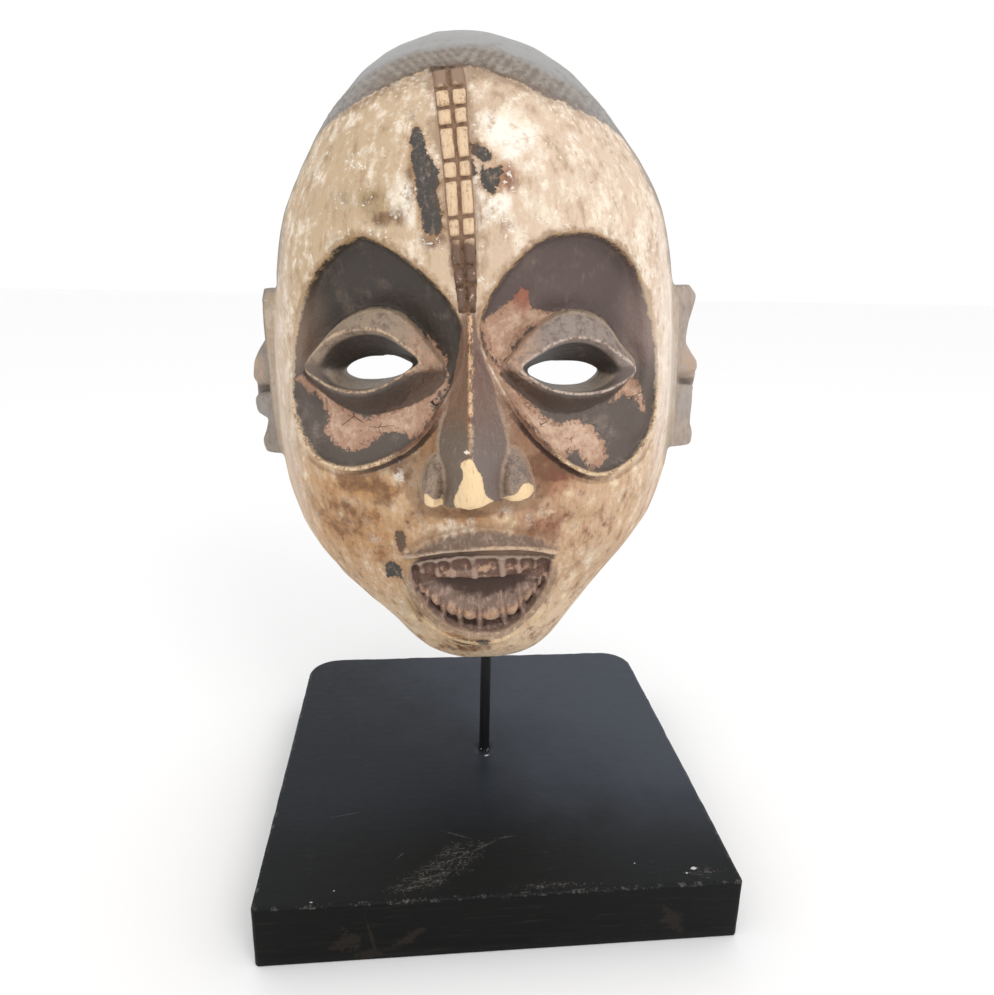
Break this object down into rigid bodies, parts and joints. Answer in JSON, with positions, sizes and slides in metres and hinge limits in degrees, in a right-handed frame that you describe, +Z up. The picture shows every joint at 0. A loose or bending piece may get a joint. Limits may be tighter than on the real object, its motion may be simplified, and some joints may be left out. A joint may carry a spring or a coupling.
{
  "type": "punu mask",
  "caption": "Carved wooden face mask with a whitened face and dark cap, on a thin metal rod and a square black board.",
  "frame": {"origin": "middle of the board's underside, which the object stands on", "axes": "+Z up along the rod, the mask's face towards -Y, +X to the viewer's right"},
  "size_m": [0.2216, 0.21, 0.3857],
  "materials": {
    "carved_wood": "worn whitening and dark stain",
    "black_metal": "satin black",
    "black_painted_wood": "satin black paint"
  },
  "bodies": {
    "root": {"mask": "carved_wood", "rod": "black_metal", "base": "black_painted_wood"}
  },
  "joints": []
}
